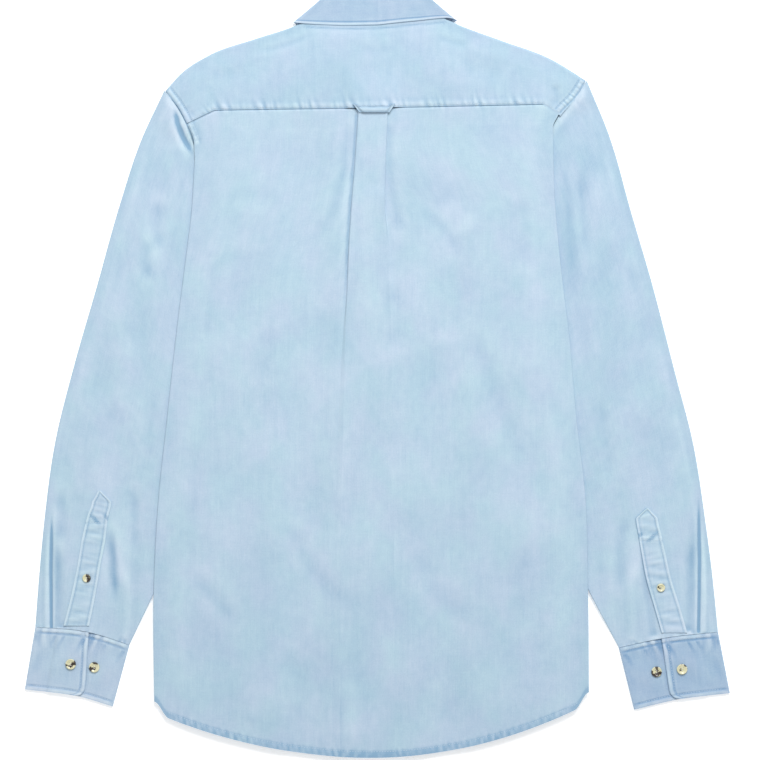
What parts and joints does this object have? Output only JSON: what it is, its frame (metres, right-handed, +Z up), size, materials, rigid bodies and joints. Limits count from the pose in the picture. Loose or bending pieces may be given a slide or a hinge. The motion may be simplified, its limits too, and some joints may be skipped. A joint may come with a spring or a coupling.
{
  "type": "long-sleeved denim shirt laid flat",
  "caption": "Long-sleeved button-up denim shirt lying face down: yoked back with a box pleat and hanging loop, curved shirt-tail hem, buttoned cuffs and a folded collar.",
  "frame": {"origin": "on the surface that the shirt lies on, under the middle of its box", "axes": "+X to the wearer's right, +Y up the back to the collar, +Z up out of the back; the shirt lies on its front"},
  "size_m": [0.761, 0.8342, 0.0125],
  "materials": {
    "denim": "light-washed blue cotton denim, soft and matt, with a fine twill and pale worn edges",
    "denim_trim": "the same denim, doubled and a little deeper in colour, on the collar and cuffs",
    "horn_button": "mottled cream and brown horn look, softly polished"
  },
  "bodies": {
    "root": {"back": "denim", "yoke": "denim", "front_left": "denim", "front_right": "denim", "front_placket": "denim", "collar_stand": "denim_trim", "collar_leaf": "denim_trim", "locker_loop": "denim", "sleeve_left": "denim", "cuff_left": "denim_trim", "sleeve_placket_left": "denim", "sleeve_right": "denim", "cuff_right": "denim_trim", "sleeve_placket_right": "denim", "cuff_button_left_1": "horn_button", "cuff_button_left_2": "horn_button", "placket_button_left": "horn_button", "cuff_button_right_1": "horn_button", "cuff_button_right_2": "horn_button", "placket_button_right": "horn_button", "stand_button": "horn_button", "front_button_1": "horn_button", "front_button_2": "horn_button", "front_button_3": "horn_button", "front_button_4": "horn_button", "front_button_5": "horn_button", "front_button_6": "horn_button", "front_button_7": "horn_button"}
  },
  "joints": []
}
